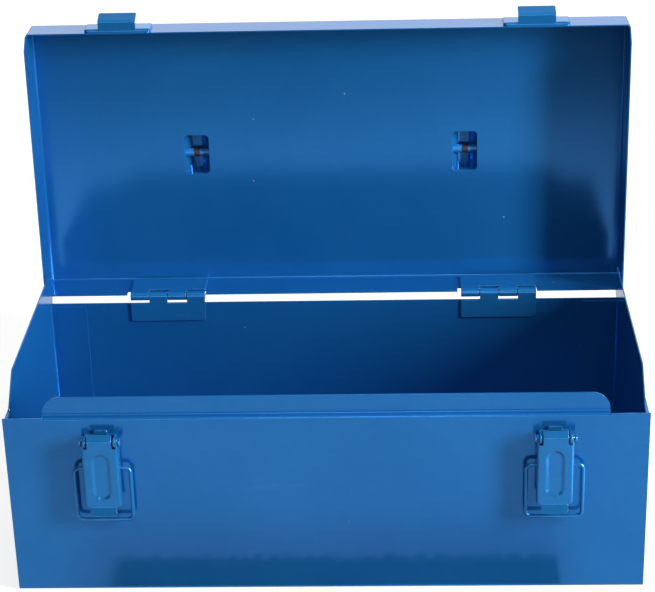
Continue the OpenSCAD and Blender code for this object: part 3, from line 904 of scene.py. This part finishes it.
@dataclass(frozen=True)
class PaintedReflections:
    """What reflections see of the floor in front of the box: a card that only reflections see, whose glow is
    painted light and shade in them.

    They see a painted pool of light that fades into the dark, a ragged strip of painted shade along the foot
    of the box, a tinted painted shade before the strip, and a painted bright patch at the right below the
    key lamp.
    A pair of numbers says where a fade starts and where it ends, in metres.

    Attributes:
        low: Lowest x and y of the card.
        high: Highest x and y of the card.
        height: Its z.
        pool_light: Brightness of the painted pool of light.
        dark_light: Brightness of the painted dark strip, and of the painted dark floor beyond the pool.
        pool_middle: X of the pool's middle.
        pool_ahead: Fade of the pool with the distance ahead.
        pool_aside: Fade of the pool to both sides.
        strip_edge: Fade of the strip's ragged edge, along y.
        strip_left: Fade of the strip's left end, along x.
        strip_right: Fade of the strip's right end, along x.
        ragged: How far the edge wanders.
        ragged_per_metre: Bays of the edge for each metre.
        reflected_shade_edge: Fade of the painted tinted shade, along y.
        haze_left: Fade of the painted shade's left end, along x.
        haze_right: Fade of the painted shade's right end, along x.
        reflected_shade_tint: Colour of the full painted shade.
        patch_light: Brightness of the painted bright patch.
        patch_left: Fade of the patch's left end, along x.
        patch_right: Fade of the patch's right end, along x.
        patch_ahead: Fade of the patch's far end, along y.
    """

    low: Span = (-2.5, -3.0)
    high: Span = (2.5, -0.1)
    height: float = 1.0 * MM
    pool_light: float = 0.80
    dark_light: float = 0.05
    pool_middle: float = -0.05
    pool_ahead: Span = (0.30, 1.15)
    pool_aside: Span = (0.35, 0.80)
    strip_edge: Span = (-0.1385, -0.1345)
    strip_left: Span = (-0.162, -0.135)
    strip_right: Span = (0.158, 0.152)
    ragged: float = 0.026
    ragged_per_metre: float = 230.0
    reflected_shade_edge: Span = (-0.225, -0.1385)
    haze_left: Span = (-0.20, -0.14)
    haze_right: Span = (0.18, 0.14)
    reflected_shade_tint: Colour = (0.92, 0.52, 0.56)
    patch_light: float = 2.4
    patch_left: Span = (0.25, 0.30)
    patch_right: Span = (1.1, 0.8)
    patch_ahead: Span = (-0.42, -0.32)

    def lay(self) -> None:
        """Lays the card, which only reflections see."""
        card = level_card("painted_reflection_card", self.low, self.high, self.height)
        card.visible_camera = False
        card.visible_diffuse = False
        card.visible_shadow = False
        card.visible_transmission = False
        material = bpy.data.materials.new("painted_reflection_card")
        sheet = NodeSheet.blank(material)
        place = sheet.place()
        across, along, _ = sheet.axes(place)

        # Painted light in reflections: a pool that fades out ahead and to both sides.
        ahead = sheet.ramp(sheet.math("MULTIPLY", along, -1.0), *self.pool_ahead)
        off_middle = sheet.math("ABSOLUTE", sheet.math("SUBTRACT", across, self.pool_middle))
        aside = sheet.ramp(off_middle, *self.pool_aside)
        # Painted shade in reflections: a dark ragged strip along the foot of the box.
        wander = sheet.math("SUBTRACT", sheet.noise(place, self.ragged_per_metre), NOISE_MIDDLE)
        edge = sheet.math("ADD", along, sheet.product(wander, self.ragged))
        strip = sheet.product(sheet.ramp(edge, *self.strip_edge), sheet.ramp(across, *self.strip_left),
                              sheet.ramp(across, *self.strip_right))
        dark = sheet.math("MAXIMUM", sheet.math("MAXIMUM", ahead, aside), strip)
        pool = sheet.ramp(dark, 0.0, 1.0, self.pool_light, self.dark_light)
        # Painted highlight in reflections: a bright patch at the right, below the key lamp.
        patch = sheet.product(sheet.ramp(across, *self.patch_left), sheet.ramp(across, *self.patch_right),
                              sheet.ramp(along, *self.patch_ahead, 0.0, self.patch_light))
        # Painted shade in reflections: a tinted darkening before the strip, which tints the card's glow.
        haze = sheet.product(sheet.ramp(along, *self.reflected_shade_edge), sheet.ramp(across, *self.haze_left),
                             sheet.ramp(across, *self.haze_right))

        glow = sheet.add("Emission")
        sheet.wire(sheet.blend(haze, WHITE, self.reflected_shade_tint), glow.inputs["Color"])
        sheet.wire(sheet.math("MAXIMUM", patch, pool), glow.inputs["Strength"])
        sheet.wire(glow.outputs[0], sheet.add("OutputMaterial").inputs["Surface"])
        card.data.materials.append(material)


@dataclass(frozen=True)
class Surroundings:
    """White for the camera, a soft fill for matt surfaces, and light and dark regions for reflections.

    A pair of numbers says between which x, y or z of the direction a fade runs.

    Attributes:
        front: Brightness that reflections see in front.
        back: Brightness that they see behind the box.
        front_to_back: Fade from front to back, in y.
        zenith: Brightness that they see straight above.
        zenith_fade: Fade of the zenith, in z.
        wall: Brightness of the far wall that they see in front of the box, just above the floor.
        wall_foot: Fade at its foot, in z.
        wall_top: Fade at its top, in z.
        wall_ends: Fade at both ends, in x.
        wall_depth: Fade towards the front, in y.
        fill_left: Fill from the left.
        fill_right: Fill from the right.
        fill_fade: Fade from left to right, in x.
    """

    front: float = 0.128
    back: float = 0.504
    front_to_back: Span = (-0.35, 0.35)
    zenith: float = 0.28
    zenith_fade: Span = (0.35, 0.95)
    wall: float = 3.6
    wall_foot: Span = (0.0, 0.05)
    wall_top: Span = (0.25, 0.16)
    wall_ends: Span = (0.20, 0.30)
    wall_depth: Span = (-0.35, -0.65)
    fill_left: float = 0.208
    fill_right: float = 0.368
    fill_fade: Span = (-0.8, 0.8)

    def build(self) -> None:
        """Builds the world."""
        world = bpy.data.worlds.new("studio")
        bpy.context.scene.world = world
        sheet = NodeSheet.blank(world)
        path = sheet.add("LightPath")
        across, along, over = sheet.axes(sheet.add("TexCoord").outputs["Generated"])
        around = sheet.ramp(along, *self.front_to_back, self.front, self.back)
        above = sheet.ramp(over, *self.zenith_fade, 0.0, self.zenith)
        aside = sheet.math("ABSOLUTE", across)
        wall = sheet.product(sheet.ramp(over, *self.wall_foot), sheet.ramp(over, *self.wall_top),
                             sheet.ramp(aside, *self.wall_ends, self.wall, 0.0),
                             sheet.ramp(along, *self.wall_depth))
        gleam = sheet.math("MAXIMUM", wall, sheet.math("MAXIMUM", around, above))
        fill = sheet.ramp(across, *self.fill_fade, self.fill_left, self.fill_right)
        lit = sheet.mix(path.outputs["Is Glossy Ray"], fill, gleam)
        sky = sheet.add("Background")
        sky.inputs["Color"].default_value = (*WHITE, 1.0)
        sheet.wire(sheet.mix(path.outputs["Is Camera Ray"], lit, 1.0), sky.inputs["Strength"])
        sheet.wire(sky.outputs[0], sheet.add("OutputWorld").inputs["Surface"])


@dataclass(frozen=True)
class View:
    """The camera: above the front, looking down into the open box.

    Attributes:
        place: Its place, in metres.
        pitch: How far it looks down, in radians.
        yaw: How far it looks to the left, in radians.
        roll: How far it leans, in radians.
        lens: Focal length, in millimetres.
        sensor: Width of the sensor, in millimetres.
    """

    place: Point = (0.050521, -1.233330, 0.725831)
    pitch: float = 0.422498
    yaw: float = 0.040804
    roll: float = -0.02827
    lens: float = 108.877
    sensor: float = 36.0

    def take(self) -> None:
        """Adds the camera and makes it the scene's."""
        level = math.cos(self.pitch)
        ahead = Vector((-math.sin(self.yaw) * level, math.cos(self.yaw) * level, -math.sin(self.pitch)))
        right = Vector((math.cos(self.yaw), math.sin(self.yaw), 0.0))
        over = right.cross(ahead)
        lean_right = right * math.cos(self.roll) + over * math.sin(self.roll)
        lean_over = over * math.cos(self.roll) - right * math.sin(self.roll)
        data = bpy.data.cameras.new("camera")
        data.lens = self.lens
        data.sensor_width = self.sensor
        data.sensor_fit = "HORIZONTAL"
        camera = bpy.data.objects.new("camera", data)
        turn = Matrix((lean_right, lean_over, -ahead)).transposed()
        camera.matrix_world = Matrix.Translation(self.place) @ turn.to_4x4()
        bpy.context.scene.collection.objects.link(camera)
        bpy.context.scene.camera = camera


@dataclass(frozen=True)
class Studio:
    """White floor, white surroundings, soft lamps and the camera.

    Attributes:
        floor: The floor that the camera sees.
        painted_reflections: The card that paints light and shade into reflections of the floor.
        surroundings: The world round them.
        softboxes: The lamps.
        view: The camera.
    """

    floor: Floor = Floor()
    painted_reflections: PaintedReflections = PaintedReflections()
    surroundings: Surroundings = Surroundings()
    softboxes: tuple[Softbox, ...] = (
        Softbox("key_right", (2.15, -0.90, 0.95), (0.40, 1.40), 168.0),
        Softbox("overhead", (0.05, -0.12, 1.50), (1.0, 0.5), 10.0, mirrored=False),
        Softbox("front_high", (0.0, -1.50, 1.35), (0.40, 0.22), 2.6),
        Softbox("rear_strip", (0.0, 1.7, 0.80), (2.4, 0.6), 4.0),
    )
    view: View = View()

    def build(self) -> None:
        """Sets up the whole studio."""
        self.floor.lay()
        self.painted_reflections.lay()
        self.surroundings.build()
        for box in self.softboxes:
            box.hang()
        self.view.take()
        bpy.context.scene.view_settings.view_transform = "Standard"
        LOG.info("studio is set")


# --------------------------------------------------------------------------------------------------
# Order of work
# --------------------------------------------------------------------------------------------------


def main() -> None:
    """Builds the dressed tool box and its studio, in order."""
    logging.basicConfig(level=logging.INFO, format="%(name)s: %(message)s")
    effects = EnamelEffects()
    enamel, fitting = SHEET_METAL.build(effects), SMALL_PARTS.build(effects)
    handle = HANDLE_BAR.build(effects)
    rivet, joint = RIVET_SHANK.build(effects), JOINT_SHADE_ENAMEL.build(effects)
    Case().build(enamel)
    Lid().build(enamel, handle)
    for side in Side:
        Hinge(side).build(fitting, joint)
        Latch(side).build(fitting, rivet)
    Studio().build()


if __name__ == "__main__":
    main()
